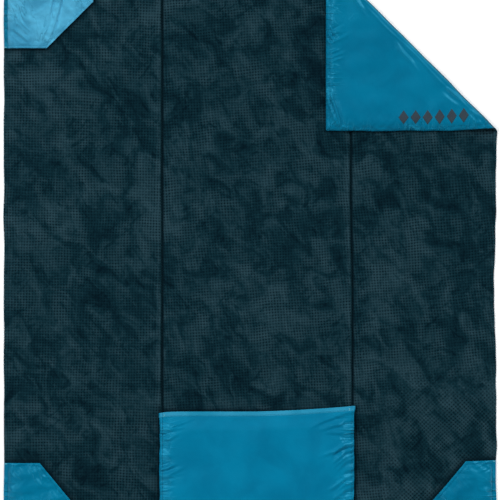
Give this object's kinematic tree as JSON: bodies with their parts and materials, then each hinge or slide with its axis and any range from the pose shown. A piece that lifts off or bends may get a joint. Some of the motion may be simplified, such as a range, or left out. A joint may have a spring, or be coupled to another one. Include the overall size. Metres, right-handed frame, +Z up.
{
  "type": "camp blanket",
  "caption": "Insulated camp blanket with plush lining, smooth shell, corner pockets and a padded stuff pocket, lying flat with one corner folded over.",
  "frame": {"origin": "middle of the underside, where the blanket lies on the ground", "axes": "+Z up out of the plush side, +X across the width to the right, +Y along the length to the top edge, whose right corner is folded over"},
  "size_m": [1.473, 1.778, 0.0357],
  "materials": {
    "plush": "embossed waffle plush",
    "shell_cloth": "smooth taffeta with a soft sheen",
    "batting": "matte polyester batt",
    "thread": "polyester thread",
    "print": "matte transfer print"
  },
  "bodies": {
    "base": {"bar_tacks_bottom_right": "thread", "bar_tacks_stuff_pocket": "thread", "edge_stitching": "thread", "insulation_centre": "batting", "insulation_right": "batting", "lining_centre": "plush", "lining_right": "plush", "pocket_bottom_right": "shell_cloth", "pocket_stitching_bottom_right": "thread", "seam_stitching_left": "thread", "seam_stitching_right": "thread", "shell": "shell_cloth", "stuff_pocket_back": "shell_cloth", "stuff_pocket_cover": "shell_cloth", "stuff_pocket_hem": "shell_cloth", "stuff_pocket_insulation": "batting", "stuff_pocket_stitching": "thread"},
    "left_panel": {"bar_tacks_bottom_left": "thread", "bar_tacks_top_left": "thread", "edge_stitching_left": "thread", "insulation_left": "batting", "lining_left": "plush", "pocket_bottom_left": "shell_cloth", "pocket_stitching_bottom_left": "thread", "pocket_stitching_top_left": "thread", "pocket_top_left": "shell_cloth", "shell_left": "shell_cloth"},
    "corner_flap": {"bar_tacks_top_right": "thread", "corner_edge_stitching": "thread", "corner_insulation_centre": "batting", "corner_insulation_right": "batting", "corner_lining_centre": "plush", "corner_lining_right": "plush", "corner_seam_stitching_right": "thread", "corner_shell": "shell_cloth", "pocket_stitching_top_right": "thread", "pocket_top_right": "shell_cloth", "printed_mark": "print"}
  },
  "joints": [
    {"name": "left_panel_fold", "type": "hinge", "parent": "base", "child": "left_panel", "pos_m": [-0.264, 0, 0.003], "axis": [0, 1, 0], "range_deg": [-90, 135]},
    {"name": "corner_fold", "type": "hinge", "parent": "base", "child": "corner_flap", "pos_m": [0.48325, 0.63575, 0.0177], "axis": [-0.7071, 0.7071, 0], "range_deg": [0, 180]}
  ]
}
